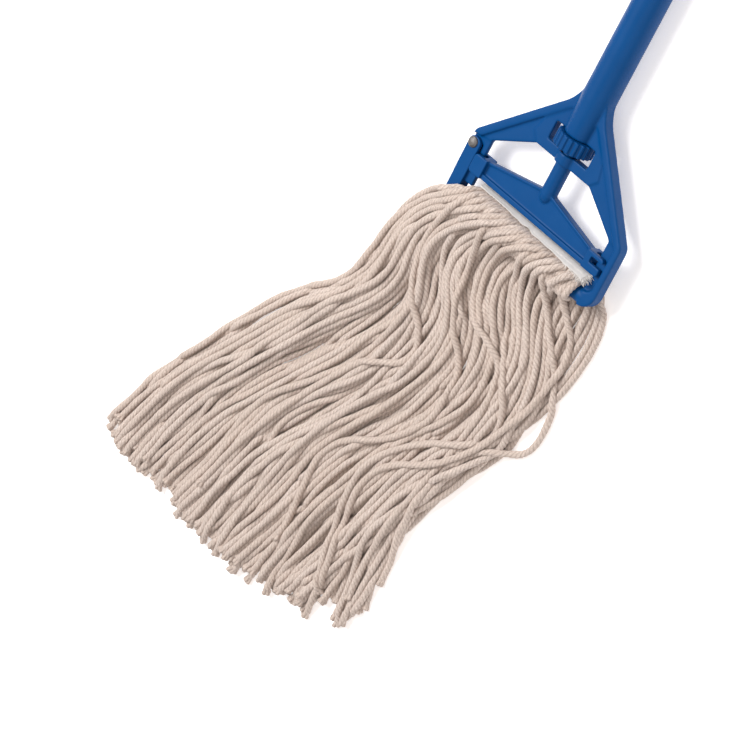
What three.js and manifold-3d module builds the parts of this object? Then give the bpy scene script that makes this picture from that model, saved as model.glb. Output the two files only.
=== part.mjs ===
// Side-gate string mop, lying on the floor. Millimetres, +Z up, +Y along the handle.
// The origin is on the floor, under the middle of the crossbar that the yarn is folded over.
// The yoke, the clamp and the handle are drawn in a head frame (origin in the crossbar's middle,
// z = 0 in the yoke's middle plane), which is then lifted and tipped so that the cap meets the floor.
import * as THREE from 'three';
import { mergeVertices } from 'three/addons/utils/BufferGeometryUtils.js';
import Module from 'manifold-3d';

const wasm = await Module();
wasm.setup();

// ---- driving dimensions ----
const GAP = 0.3; // between pieces that touch
const EXTRA = 1; // how far a cutting tool runs past a face
const OVERLAP = 0.01; // how far joined slices run into each other

const CROSSBAR_HEIGHT = 25; // the crossbar's middle above the floor
const HALF_WIDTH = 100; // the yoke's middle to a leg's outer face
const RIM_WIDTH = 8.5; // raised rim along the arms
const LEG_RIM = 7; // the same rim down the right leg
const RIM_HALF = 6.5; // half thickness of the rim
const ARM_HALF = 3.5; // half thickness of the web in the arms
const WEB_HALF = 2.6; // half thickness of the ledges, guide, lug and tongue
const LEDGE_X = 81; // inner edge of the right leg's thin ledge, which a fork rides on
const GUIDE = [-86.2, -79.5]; // the short guide beside the gate
const GUIDE_LOW = 42;
const SHOULDER_Y = 60;
const ARM_TOP = [26, 140]; // where an arm's straight outer edge ends
const NECK_Y = 157; // where the fillets meet the socket
const CORNER_RADIUS = 16; // outer corner between right leg and crossbar

const CROSSBAR_HALF = 8; // half width of the crossbar, along y
const CROSSBAR_THICK = 7; // half thickness of the crossbar
const CROSSBAR_END = -83.5; // free end at the gate
const TONGUE_TIP = -95;
const TONGUE_HALF = 5;

const BRIDGE_LOW = 87; // lower edge of the bridge, over the clamp
const BRIDGE_HALF = 35; // half width of its straight stretch
const BRIDGE_THICK = 4.8; // its half thickness
const WINDOW_LOW = 98; // thumbwheel window
const WINDOW_TOP = 117;
const WINDOW_HALF = 26;

const SOCKET_RADIUS = 16.5;
const SOCKET_BORE = 13;
const SOCKET_FLOOR = 168; // bottom of the bore
const SOCKET_END = 300;

const STEM_RADIUS = 8;
const STEM_LOW = 54;
// how its lower end rounds off into the web: distances below STEM_LOW and radii there
const STEM_FOOT = [[0, 8], [4, 7.2], [7, 5.4], [9, 3]];
const STEM_TOP = 87.5; // the threaded end begins here, low enough never to reach the thumbwheel
const STEM_CLEARANCE = 0.4;
const THREAD_CORE = 5.6;
const THREAD_RIDGE = 1.3; // radius of the round thread ridge
const THREAD_LENGTH = 50;
const THREAD_PITCH = 4;
const THREAD_CLEARANCE = 0.45;
const THREAD_SPAN = [STEM_TOP - 2, STEM_TOP + THREAD_LENGTH - 2];

const WHEEL_RADIUS = 20;
const WHEEL_RIDGES = 20;
const RIDGE_HEIGHT = 1.6;
const WHEEL_LOW = 103.2;

const BAR_LOW = 24.5; // the clamp bar's lower edge
const BAR_FLANGE = 5; // width of its lower flange
const BAR_FLANGE_HALF = 5.5; // half its thickness
const BAR_MIDDLE_TOP = 56; // top edge beside the stem
const BAR_END_TOP = 42; // the same edge where it meets the forks
const BAR_THICK = 8; // half thickness of the forks
const BAR_RIM = 4.2; // half thickness of the rims along the top edges
const FORK_START = 70;
const FORK_END_RIGHT = 90.5;
const FORK_END_LEFT = 85.4;
const FORK_TOP = 43;
const FORK_SLOT = 3.4; // half height of the slot that straddles a ledge
const SLOT_START = 76.4;
const CLAMP_TRAVEL = 15;

const PIVOT = [-94.5, 48.5]; // the gate's hinge
const GATE_HEAD = 6.3; // the rounded head, outwards and upwards from the pivot
const HEAD_REACH = 8.4; // the furthest the head gets from the pivot
const GATE_OUTER = -100.8;
const GATE_FACE = -86.2; // inner edge of the gate's broad face
const GATE_INNER = -77; // inner edge of its ledge
const GATE_LOW = -8;
const PIN_RADIUS = 3;
const PIN_CLEARANCE = 0.35;
const RIVET_HEAD = 5.5;
const RIVET_DOME = 2.6;
const WASHER_RADIUS = 5.8;
const WASHER_THICK = 1.2;

const TUBE_RADIUS = 12.7; // 1 inch handle
const TUBE_WALL = 1.3;
const TUBE_START = 172;
const TUBE_LENGTH = 1524; // 60 inches
const CAP_RADIUS = 14.5;
const CAP_SKIRT = 24; // how far the cap reaches back over the tube
const CAP_END = 14;
const PLUG_START = 200;
const PLUG_END = 296;
const SCREW_Y = 270;
const SCREW_RADIUS = 2;
const SCREW_HEAD = 4.2;

const TAPE_WIDTH = 25.4; // headband tape, 1 inch, across the fold
const FOLD_ENDS = [-64, 79]; // the clamped yarn lies nearer the right leg
const FOLD_REACH = 21.6; // the fold's outer face, beyond the crossbar's middle
const FOLD_HALF_HEIGHT = 20;
const FOLD_INNER = 9.8;
const FOLD_CUT = -14.4; // where the fold stops, just above the back half of the yarn
const TAPE_THICK = 0.9;

const FAN_THICK = 10; // each half of the yarn
const FRONT_LIFT = 35; // underside of the front half at the crossbar
const FRONT_LOW = 11.5; // underside of the front half at its tips
const FAN_BEVEL = 4;
const TIPS_Y = -450;

const TUBE_END = TUBE_START + TUBE_LENGTH;
const CAP_TIP = TUBE_END + CAP_END;
const TIP_ANGLE = Math.asin((CROSSBAR_HEIGHT - CAP_RADIUS) / CAP_TIP);

// ---- solids: three.js geometries in, one closed geometry out ----
function toSolid(geometry) {
  const bare = geometry.clone();
  bare.deleteAttribute('normal');
  bare.deleteAttribute('uv');
  const merged = mergeVertices(bare, 1e-4);
  const mesh = new wasm.Mesh({
    numProp: 3,
    vertProperties: new Float32Array(merged.attributes.position.array),
    triVerts: new Uint32Array(merged.index.array),
  });
  return new wasm.Manifold(mesh);
}

function toGeometry(solid) {
  const mesh = solid.getMesh();
  const geometry = new THREE.BufferGeometry();
  geometry.setAttribute('position', new THREE.BufferAttribute(mesh.vertProperties, 3));
  geometry.setIndex(new THREE.BufferAttribute(mesh.triVerts, 1));
  geometry.computeVertexNormals();
  return geometry;
}

function join(...geometries) {
  return geometries.map(toSolid).reduce((whole, piece) => whole.add(piece));
}

function cut(solid, ...tools) {
  return tools.map(toSolid).reduce((whole, tool) => whole.subtract(tool), solid);
}

// ---- plain shapes, all in the head frame; x0 and x1 may come in either order ----
function block(x0, x1, y0, y1, z0, z1) {
  const box = new THREE.BoxGeometry(Math.abs(x1 - x0), y1 - y0, z1 - z0);
  return box.translate((x0 + x1) / 2, (y0 + y1) / 2, (z0 + z1) / 2);
}

function rodAlongY(radius, y0, y1, sides = 32, endRadius = radius) {
  const rod = new THREE.CylinderGeometry(endRadius, radius, y1 - y0, sides);
  return rod.translate(0, (y0 + y1) / 2, 0);
}

function rodAlongZ(radius, x, y, z0, z1, sides = 28) {
  const rod = new THREE.CylinderGeometry(radius, radius, z1 - z0, sides).rotateX(Math.PI / 2);
  return rod.translate(x, y, (z0 + z1) / 2);
}

function rodAlongX(radius, x0, x1, y, sides = 20) {
  const rod = new THREE.CylinderGeometry(radius, radius, x1 - x0, sides).rotateZ(Math.PI / 2);
  return rod.translate((x0 + x1) / 2, y, 0);
}

// a flat outline in x and y, half the thickness on each side of the middle plane
// side is 1, or -1 for the mirror image
function plate(shape, half, side = 1) {
  const points = shape.getPoints(6).map((point) => new THREE.Vector2(side * point.x, point.y));
  const outline = withoutDoubles(points);
  const settings = { depth: 2 * half, bevelEnabled: false };
  return new THREE.ExtrudeGeometry(new THREE.Shape(outline), settings).translate(0, 0, -half);
}

// arcs repeat the point they start from, so points closer than a hundredth are dropped
function withoutDoubles(points) {
  return points.filter((point, i) => point.distanceTo(points.at(i - 1)) > 0.01);
}

function polygon(points) {
  return new THREE.Shape(points.map(([x, y]) => new THREE.Vector2(x, y)));
}

function mirrored(points) {
  return points.map(([x, y]) => [-x, y]);
}

// a closed profile around the head frame's y axis
function turned(profile, sides = 28) {
  return new THREE.LatheGeometry(profile.map(([r, y]) => new THREE.Vector2(r, y)), sides);
}

// ---- the yoke ----
// thin web of both arms, with the bridge between them
function armWeb() {
  const half = [
    [0, BRIDGE_LOW],
    [BRIDGE_HALF, BRIDGE_LOW],
    [LEDGE_X, SHOULDER_Y - 1],
    [HALF_WIDTH - RIM_WIDTH / 2, SHOULDER_Y - 2],
    [ARM_TOP[0] - RIM_WIDTH / 2, ARM_TOP[1] - 2],
    [0, NECK_Y],
  ];
  return polygon([...half, ...mirrored(half.slice(1, -1)).reverse()]);
}

// raised rim of one arm, from the neck to the shoulder
function armRim() {
  const shape = new THREE.Shape();
  shape.moveTo(0, NECK_Y + 4);
  shape.lineTo(SOCKET_RADIUS - 1, NECK_Y + 4);
  shape.quadraticCurveTo(SOCKET_RADIUS + 2, ARM_TOP[1] + 9, ...ARM_TOP);
  shape.lineTo(HALF_WIDTH - 3, SHOULDER_Y + 3);
  shape.quadraticCurveTo(HALF_WIDTH, SHOULDER_Y, HALF_WIDTH, SHOULDER_Y - 6);
  shape.lineTo(HALF_WIDTH - RIM_WIDTH, SHOULDER_Y - 3);
  shape.lineTo(ARM_TOP[0] - 6, ARM_TOP[1] - 6);
  shape.lineTo(0, NECK_Y - 8);
  return shape;
}

// raised rim of the right leg and the corner down to the crossbar
function legRim() {
  const inner = HALF_WIDTH - LEG_RIM;
  const innerRadius = CORNER_RADIUS - LEG_RIM;
  const cornerY = CORNER_RADIUS - CROSSBAR_HALF;
  const shape = new THREE.Shape();
  shape.moveTo(HALF_WIDTH - CORNER_RADIUS, -CROSSBAR_HALF);
  shape.absarc(HALF_WIDTH - CORNER_RADIUS, cornerY, CORNER_RADIUS, -Math.PI / 2, 0);
  shape.lineTo(HALF_WIDTH, SHOULDER_Y - 5);
  shape.lineTo(inner, SHOULDER_Y - 1);
  shape.lineTo(inner, cornerY + 8);
  shape.absarc(HALF_WIDTH - CORNER_RADIUS, cornerY + 8, innerRadius, 0, -Math.PI / 2, true);
  return shape;
}

// the crossbar's oval section, extruded along x
function crossbar() {
  const section = new THREE.Shape();
  section.absellipse(0, 0, CROSSBAR_HALF, CROSSBAR_THICK, 0, 2 * Math.PI);
  return acrossX(section, CROSSBAR_END, HALF_WIDTH - CORNER_RADIUS + 2);
}

// a shape drawn in y and z, extruded from x0 to x1
function acrossX(shape, x0, x1, curveSegments = 10) {
  const outline = new THREE.Shape(withoutDoubles(shape.getPoints(curveSegments)));
  const geometry = new THREE.ExtrudeGeometry(outline, { depth: x1 - x0, bevelEnabled: false });
  // the shape's x becomes y, its y becomes z, and the extrusion runs along x
  const turn = new THREE.Matrix4().makeBasis(
    new THREE.Vector3(0, 1, 0), new THREE.Vector3(0, 0, 1), new THREE.Vector3(1, 0, 0));
  return geometry.applyMatrix4(turn).translate(x0, 0, 0);
}

// the lug that carries the rivet, between the two cheeks of the gate's head
function lug() {
  const [x, y] = PIVOT;
  const radius = GATE_HEAD - 0.6;
  const shape = new THREE.Shape();
  shape.moveTo(GUIDE[0] + 1, SHOULDER_Y - 4);
  shape.lineTo(x + radius, y);
  shape.absarc(x, y, radius, 0, -Math.PI, true);
  shape.lineTo(-HALF_WIDTH + 1, SHOULDER_Y + 1);
  shape.lineTo(-HALF_WIDTH + 12, SHOULDER_Y + 6);
  return plate(shape, WEB_HALF);
}

// the thick bridge around the thumbwheel's window
function bridge() {
  const half = [
    [BRIDGE_HALF, BRIDGE_LOW], [BRIDGE_HALF + 8, WINDOW_LOW - 2],
    [BRIDGE_HALF, WINDOW_TOP + 8], [SOCKET_RADIUS + 1.5, NECK_Y - 8],
  ];
  return plate(polygon([...half, ...mirrored(half).reverse()]), BRIDGE_THICK);
}

function yoke() {
  const headRoom = rodAlongZ(HEAD_REACH + 2 * GAP, ...PIVOT, -RIM_HALF - EXTRA, RIM_HALF + EXTRA);
  const leftRim = cut(toSolid(plate(armRim(), RIM_HALF, -1)), headRoom);
  const body = join(
    plate(armWeb(), ARM_HALF),
    plate(armRim(), RIM_HALF),
    plate(legRim(), RIM_HALF),
    bridge(),
    block(LEDGE_X, HALF_WIDTH - 2, -2, SHOULDER_Y, -WEB_HALF, WEB_HALF),
    block(...GUIDE, GUIDE_LOW, SHOULDER_Y + 2, -WEB_HALF, WEB_HALF),
    lug(),
    crossbar(),
    block(TONGUE_TIP, CROSSBAR_END + 4, -TONGUE_HALF, TONGUE_HALF, -WEB_HALF, WEB_HALF),
    rodAlongY(11, BRIDGE_LOW, WINDOW_LOW + 4, 32),
    rodAlongY(15, WINDOW_TOP - 4, NECK_Y, 40, SOCKET_RADIUS),
    rodAlongY(SOCKET_RADIUS, NECK_Y - EXTRA, SOCKET_END, 40),
  ).add(leftRim);
  const bore = STEM_RADIUS + STEM_CLEARANCE;
  const boreEnd = STEM_TOP + THREAD_LENGTH + CLAMP_TRAVEL + 3;
  return cut(
    body,
    block(-WINDOW_HALF, WINDOW_HALF, WINDOW_LOW, WINDOW_TOP, -WHEEL_RADIUS, WHEEL_RADIUS),
    rodAlongY(bore, BRIDGE_LOW - EXTRA, WINDOW_LOW + EXTRA, 32),
    rodAlongY(bore, WINDOW_TOP - EXTRA, boreEnd, 32),
    rodAlongY(SOCKET_BORE, SOCKET_FLOOR, SOCKET_END + EXTRA, 40),
    rodAlongX(SCREW_RADIUS + GAP, -SOCKET_RADIUS - EXTRA, 0, SCREW_Y),
    rodAlongZ(PIN_RADIUS + PIN_CLEARANCE, ...PIVOT, -RIM_HALF, RIM_HALF),
  );
}

// ---- the side gate: a leg with a forked head at the hinge and a slot for the tongue ----
function gateFace() {
  const [x, y] = PIVOT;
  const shape = new THREE.Shape();
  shape.moveTo(GATE_OUTER + 1, GATE_LOW);
  shape.lineTo(GATE_FACE, GATE_LOW);
  shape.lineTo(GATE_FACE, y - 1);
  shape.quadraticCurveTo(GATE_FACE, y + 5.6, x + 1, y + GATE_HEAD);
  shape.absarc(x, y, GATE_HEAD, Math.PI / 2, Math.PI);
  return plate(shape, RIM_HALF);
}

function sideGate() {
  const [x, y] = PIVOT;
  const ledgeTop = y - 9;
  const ledge = block(GATE_FACE - 3, GATE_INNER, GATE_LOW + 20, ledgeTop, -WEB_HALF, WEB_HALF);
  const slot = WEB_HALF + GAP;
  return cut(
    join(gateFace(), ledge),
    block(TONGUE_TIP - 1, GATE_FACE + EXTRA, GATE_LOW - EXTRA, TONGUE_HALF + 2, -slot, slot),
    rodAlongZ(HEAD_REACH + 1, x, y, -slot, slot),
    rodAlongZ(PIN_RADIUS + PIN_CLEARANCE, x, y, -RIM_HALF - EXTRA, RIM_HALF + EXTRA),
  );
}

function gateRivet() {
  const top = RIM_HALF + GAP;
  const tail = -RIM_HALF - WASHER_THICK - 2 * GAP;
  const profile = [
    [0, tail - 2], [PIN_RADIUS + 1.2, tail - 1.6], [PIN_RADIUS + 1.4, tail], [PIN_RADIUS, tail],
    [PIN_RADIUS, top], [RIVET_HEAD, top], [RIVET_HEAD - 0.5, top + 1.1],
    [RIVET_HEAD - 2.2, top + 2.2], [0, top + RIVET_DOME],
  ];
  return turned(profile).rotateX(Math.PI / 2).translate(...PIVOT, 0);
}

function rivetWasher() {
  const z1 = -RIM_HALF - GAP;
  const disc = toSolid(rodAlongZ(WASHER_RADIUS, ...PIVOT, z1 - WASHER_THICK, z1));
  return cut(disc, rodAlongZ(PIN_RADIUS + GAP, ...PIVOT, z1 - 3, z1 + EXTRA));
}

// ---- the clamp: T-bar, forks and threaded stem ----
function threadRidge(clearance, y0, y1) {
  const turns = (y1 - y0) / THREAD_PITCH;
  class Helix extends THREE.Curve {
    getPoint(t, target = new THREE.Vector3()) {
      const angle = 2 * Math.PI * turns * t;
      const radius = THREAD_CORE + 0.2;
      return target.set(radius * Math.sin(angle), y0 + (y1 - y0) * t, radius * Math.cos(angle));
    }
  }
  const section = new THREE.Shape();
  section.absarc(0, 0, THREAD_RIDGE + clearance, 0, 2 * Math.PI);
  return new THREE.ExtrudeGeometry(section, {
    extrudePath: new Helix(), steps: Math.round(turns * 18), curveSegments: 3, bevelEnabled: false,
  });
}

function clampWeb() {
  const half = [
    [FORK_START + 2, BAR_LOW + 1],
    [FORK_START + 2, BAR_END_TOP],
    [STEM_RADIUS, BAR_MIDDLE_TOP],
  ];
  return polygon([...half, ...mirrored(half).reverse()]);
}

// the raised rim along one of the web's top edges
function clampRim(side) {
  const inner = STEM_RADIUS - 3;
  const shape = polygon([
    [inner, BAR_MIDDLE_TOP + 0.6], [FORK_START + 2, BAR_END_TOP],
    [FORK_START + 2, BAR_END_TOP - 2.4], [inner, BAR_MIDDLE_TOP - 2],
  ]);
  return toSolid(plate(shape, BAR_RIM, side));
}

// one end fork, slotted for the ledge it rides on
function fork(side, end) {
  const corner = 2;
  const body = plate(polygon([
    [FORK_START, BAR_LOW], [end - corner, BAR_LOW], [end, BAR_LOW + corner],
    [end, FORK_TOP - corner], [end - corner, FORK_TOP], [FORK_START, FORK_TOP],
  ]), BAR_THICK, side);
  const slotEnd = side * (end + EXTRA);
  return cut(
    toSolid(body),
    block(side * SLOT_START, slotEnd, BAR_LOW - EXTRA, FORK_TOP + EXTRA, -FORK_SLOT, FORK_SLOT),
  );
}

function clampBar() {
  const flange = block(
    -FORK_START - 2, FORK_START + 2, BAR_LOW, BAR_LOW + BAR_FLANGE, -BAR_FLANGE_HALF, BAR_FLANGE_HALF);
  const stem = rodAlongY(STEM_RADIUS, STEM_LOW - EXTRA, STEM_TOP, 32);
  const foot = STEM_FOOT.slice(1).map(([depth, radius], i) => (
    rodAlongY(radius, STEM_LOW - depth, STEM_LOW - STEM_FOOT[i][0] + OVERLAP, 32, STEM_FOOT[i][1])));
  const core = rodAlongY(THREAD_CORE, STEM_TOP - EXTRA, STEM_TOP + THREAD_LENGTH, 24);
  // the right fork ends in two tabs on each face, the left one has a narrow slit in its face
  const middle = (BAR_LOW + FORK_TOP) / 2 + 2;
  const between = [SLOT_START, FORK_END_RIGHT + EXTRA, middle - 3, middle + 3];
  const tabs = cut(
    fork(1, FORK_END_RIGHT),
    block(...between, FORK_SLOT - EXTRA, BAR_THICK + EXTRA),
    block(...between, -BAR_THICK - EXTRA, -FORK_SLOT + EXTRA),
  );
  const slit = block(
    -FORK_START + 2.6, -FORK_START, BAR_LOW + 7, FORK_TOP - 4, ARM_HALF, BAR_THICK + EXTRA);
  const bar = join(plate(clampWeb(), 3), flange, stem, ...foot, core, threadRidge(0, ...THREAD_SPAN));
  return cut(bar.add(clampRim(1)).add(clampRim(-1)).add(tabs).add(fork(-1, FORK_END_LEFT)), slit);
}

// ---- the thumbwheel: a ridged nut ----
function thumbwheel() {
  const outline = new THREE.Shape();
  const steps = WHEEL_RIDGES * 6;
  for (let i = 0; i < steps; i += 1) {
    const angle = (2 * Math.PI * i) / steps;
    const raised = i % 6 < 3;
    const radius = raised ? WHEEL_RADIUS : WHEEL_RADIUS - RIDGE_HEIGHT;
    const point = [radius * Math.cos(angle), radius * Math.sin(angle)];
    if (i === 0) outline.moveTo(...point);
    else outline.lineTo(...point);
  }
  const top = WINDOW_TOP - GAP;
  const wheel = new THREE.ExtrudeGeometry(outline, { depth: top - WHEEL_LOW, bevelEnabled: false });
  wheel.rotateX(-Math.PI / 2).translate(0, WHEEL_LOW, 0);
  const hub = rodAlongY(THREAD_CORE + THREAD_CLEARANCE, WHEEL_LOW - EXTRA, top + EXTRA, 24);
  // the nut's groove is the stem's own ridge, made a little larger
  return cut(toSolid(wheel), hub, threadRidge(THREAD_CLEARANCE, ...THREAD_SPAN));
}

// ---- the handle ----
function handleTube() {
  const tube = toSolid(rodAlongY(TUBE_RADIUS, TUBE_START, TUBE_END, 32));
  const inside = rodAlongY(TUBE_RADIUS - TUBE_WALL, TUBE_START - EXTRA, TUBE_END + EXTRA, 32);
  return cut(tube, inside, rodAlongX(SCREW_RADIUS + GAP, -TUBE_RADIUS - EXTRA, 0, SCREW_Y));
}

function tubePlug() {
  const radius = TUBE_RADIUS - TUBE_WALL - GAP;
  const plug = toSolid(rodAlongY(radius, PLUG_START, PLUG_END, 28));
  return cut(plug, rodAlongX(SCREW_RADIUS + GAP, -radius - EXTRA, 4, SCREW_Y));
}

function socketScrew() {
  const head = SOCKET_RADIUS + GAP;
  const profile = [
    [0, -1], [SCREW_RADIUS, 1.5], [SCREW_RADIUS, head], [SCREW_HEAD, head],
    [SCREW_HEAD - 0.5, head + 1.6], [SCREW_HEAD - 1.6, head + 2.3], [0, head + 2.5],
  ];
  return turned(profile, 20).rotateZ(Math.PI / 2).translate(0, SCREW_Y, 0);
}

function handleCap() {
  const bore = TUBE_RADIUS + GAP;
  const start = TUBE_END - CAP_SKIRT;
  const profile = [
    [0, TUBE_END + GAP], [bore, TUBE_END + GAP], [bore, start], [CAP_RADIUS - 0.6, start],
    [CAP_RADIUS, start + 2], [CAP_RADIUS, CAP_TIP - 9], [CAP_RADIUS - 1.4, CAP_TIP - 4.5],
    [CAP_RADIUS - 5, CAP_TIP - 1.2], [0, CAP_TIP],
  ];
  return turned(profile, 32);
}

// ---- the headband: tapes around the fold, in y and z ----
// a band between two ellipses, open towards the tips of the yarn
function foldBand(reach0, height0, reach1, height1, angle) {
  const shape = new THREE.Shape();
  shape.absellipse(0, 0, reach1, height1, -angle, angle, false);
  shape.absellipse(0, 0, reach0, height0, angle, -angle, true);
  return shape;
}

function tape(reach, height) {
  // the angle that gives half the tape's width on each side of the fold
  const meanRadius = (reach + height) / 2;
  const angle = TAPE_WIDTH / 2 / meanRadius;
  const shape = foldBand(reach, height, reach + TAPE_THICK, height + TAPE_THICK, angle);
  return acrossX(shape, FOLD_ENDS[0] - 1, FOLD_ENDS[1] + 1);
}

function innerTape() {
  const low = CROSSBAR_HALF + GAP;
  const shape = foldBand(low, low, low + TAPE_THICK, low + TAPE_THICK, Math.PI / 2);
  return acrossX(shape, FOLD_ENDS[0] - 1, FOLD_ENDS[1] + 1);
}

// one row of sewing thread across the tape, at an angle around the fold
function threadRow(angle) {
  const reach = FOLD_REACH + GAP + TAPE_THICK + 0.7;
  const height = FOLD_HALF_HEIGHT + GAP + TAPE_THICK + 0.7;
  const thread = rodAlongX(0.35, ...FOLD_ENDS, 0, 6);
  return thread.translate(0, reach * Math.cos(angle), height * Math.sin(angle));
}

// ---- the yarn ----
// the fold stops where the back half of the yarn begins
function yarnFold() {
  const shape = foldBand(FOLD_INNER, FOLD_INNER, FOLD_REACH, FOLD_HALF_HEIGHT, Math.PI / 2);
  const lowerPart = block(
    FOLD_ENDS[0] - EXTRA, FOLD_ENDS[1] + EXTRA, -EXTRA, FOLD_REACH + EXTRA,
    -FOLD_HALF_HEIGHT - EXTRA, FOLD_CUT);
  return cut(toSolid(acrossX(shape, ...FOLD_ENDS)), lowerPart);
}

// outlines seen from above: the left side, the tips and the right side, from the fold round
const FRONT_OUTLINE = [
  [-66, -1], [-94, -12], [-124, -46], [-144, -112], [-176, -170], [-236, -260], [-288, -350],
  [-330, -425], [-268, -438], [-195, -448], [-115, -442], [-40, -432], [18, -412], [24, -345],
  [40, -250], [68, -175], [82, -115], [76, -50], [78, -1],
];
const BACK_OUTLINE = [
  [-64, 13], [-76, -4], [-106, -20], [-138, -62], [-150, -120], [-176, -180], [-232, -262], [-284, -350],
  [-322, -420], [-258, -447], [-192, -462], [-110, -450], [-35, -440], [20, -416], [25, -355],
  [34, -290], [58, -200], [92, -110], [108, -46], [102, -8], [79, 13],
];

function fan(outline) {
  const points = outline.map(([x, y]) => new THREE.Vector2(x, y));
  const shape = new THREE.Shape();
  shape.moveTo(points[0].x, points[0].y);
  shape.splineThru(points.slice(1));
  return new THREE.ExtrudeGeometry(shape, {
    depth: FAN_THICK - 2 * FAN_BEVEL,
    curveSegments: 3,
    bevelThickness: FAN_BEVEL,
    bevelSize: FAN_BEVEL,
    bevelOffset: -FAN_BEVEL,
    bevelSegments: 2,
  }).translate(0, 0, FAN_BEVEL);
}

// ---- colours and assembly ----
const BLUE = { color: 0x1660ad, roughness: 0.42, metalness: 0 };
const STEEL = { color: 0xa8a39a, roughness: 0.35, metalness: 1 };
const ALUMINIUM = { color: 0xb9bcc0, roughness: 0.35, metalness: 1 };
const NYLON = { color: 0xd8d4c8, roughness: 0.6, metalness: 0 };
const COTTON = { color: 0xd9cbbb, roughness: 0.95, metalness: 0 };
const TAPE = { color: 0xe9e4dd, roughness: 0.9, metalness: 0 };

const mop = new THREE.Group();
const head = new THREE.Group();
head.position.z = CROSSBAR_HEIGHT;
head.rotation.x = -TIP_ANGLE;
mop.add(head);

function addPiece(parent, name, shape, finish) {
  const geometry = shape.isBufferGeometry ? shape : toGeometry(shape);
  const mesh = new THREE.Mesh(geometry, new THREE.MeshStandardMaterial(finish));
  mesh.name = name;
  parent.add(mesh);
  return mesh;
}

addPiece(head, 'yoke', yoke(), BLUE);
addPiece(head, 'side_gate', sideGate(), BLUE);
addPiece(head, 'gate_rivet', gateRivet(), STEEL);
addPiece(head, 'rivet_washer', rivetWasher(), STEEL);
addPiece(head, 'clamp_bar', clampBar(), BLUE);
addPiece(head, 'thumbwheel', thumbwheel(), BLUE);
addPiece(head, 'handle_tube', handleTube(), ALUMINIUM);
addPiece(head, 'tube_plug', tubePlug(), NYLON);
addPiece(head, 'socket_screw', socketScrew(), STEEL);
addPiece(head, 'handle_cap', handleCap(), BLUE);
addPiece(head, 'headband_outer', tape(FOLD_REACH + GAP, FOLD_HALF_HEIGHT + GAP), TAPE);
addPiece(head, 'headband_inner', innerTape(), TAPE);
[-0.42, 0, 0.42].forEach((angle, i) => {
  addPiece(head, `sewing_thread_${i + 1}`, threadRow(angle), TAPE);
});
addPiece(head, 'yarn_fold', yarnFold(), COTTON);

addPiece(mop, 'yarn_back', fan(BACK_OUTLINE), COTTON);
const front = addPiece(mop, 'yarn_front', fan(FRONT_OUTLINE), COTTON);
front.position.z = FRONT_LIFT;
front.rotation.x = Math.atan((FRONT_LIFT - FRONT_LOW) / -TIPS_Y);

export default mop;
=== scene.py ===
# Looks of the side-gate string mop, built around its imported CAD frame. Metres, +Z up, +Y along the
# handle. Yarn and tape are worked out in millimetres and scaled by MM when their meshes are made.
import math

import bpy
import numpy as np
from mathutils import Matrix, Vector


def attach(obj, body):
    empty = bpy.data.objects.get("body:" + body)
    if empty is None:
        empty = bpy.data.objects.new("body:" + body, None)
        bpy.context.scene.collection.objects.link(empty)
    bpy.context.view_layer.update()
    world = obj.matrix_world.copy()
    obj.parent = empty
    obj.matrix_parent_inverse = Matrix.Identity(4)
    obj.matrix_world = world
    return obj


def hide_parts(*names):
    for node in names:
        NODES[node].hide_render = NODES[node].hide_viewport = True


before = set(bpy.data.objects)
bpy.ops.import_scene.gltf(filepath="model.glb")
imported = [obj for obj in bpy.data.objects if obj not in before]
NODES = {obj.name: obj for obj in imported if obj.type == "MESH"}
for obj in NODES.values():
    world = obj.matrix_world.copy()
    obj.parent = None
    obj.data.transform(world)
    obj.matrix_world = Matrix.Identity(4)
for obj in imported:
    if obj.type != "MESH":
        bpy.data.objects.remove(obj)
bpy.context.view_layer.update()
MM = 0.001

# ---- camera, floor and light ----
CAMERA_AZIMUTH = math.radians(36.588)
CAMERA_ELEVATION = math.radians(50.5)
CAMERA_ROLL = math.radians(-92.243)
CAMERA_DISTANCE = 6.0
CAMERA_LENS_MM = 309.88
CAMERA_SENSOR_MM = 36.0
CAMERA_SIGHT = 60.0
CAMERA_AIM = Vector((-0.0925, -0.2099, 0.0))
FLOOR_HALF = 30.0
SKY_COLOUR, SKY_STRENGTH = (1.0, 0.94, 0.905, 1.0), 0.5
LIGHT_AIM = (-0.1, -0.1, 0.0)
LIGHTS = {  # name: its place, the side of its square, its watts and its colour
    "key": ((-1.25, 0.75, 2.6), 1.5, 93.0, (1.0, 0.985, 0.965)),
    "fill": ((1.8, -0.4, 2.2), 2.4, 17.0, (1.0, 0.955, 0.925)),
}


def make_camera():
    flat = math.cos(CAMERA_ELEVATION)
    back = Vector((
        flat * math.cos(CAMERA_AZIMUTH), flat * math.sin(CAMERA_AZIMUTH), math.sin(CAMERA_ELEVATION)))
    level = Vector((-math.sin(CAMERA_AZIMUTH), math.cos(CAMERA_AZIMUTH), 0.0))
    upward = back.cross(level)
    side = level * math.cos(CAMERA_ROLL) + upward * math.sin(CAMERA_ROLL)
    top = upward * math.cos(CAMERA_ROLL) - level * math.sin(CAMERA_ROLL)
    data = bpy.data.cameras.new("camera")
    data.lens = CAMERA_LENS_MM
    data.sensor_width = CAMERA_SENSOR_MM
    data.clip_end = CAMERA_SIGHT
    camera = bpy.data.objects.new("camera", data)
    matrix = Matrix((side, top, back)).transposed().to_4x4()
    matrix.translation = CAMERA_AIM + back * CAMERA_DISTANCE
    camera.matrix_world = matrix
    bpy.context.scene.collection.objects.link(camera)
    bpy.context.scene.camera = camera


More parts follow.
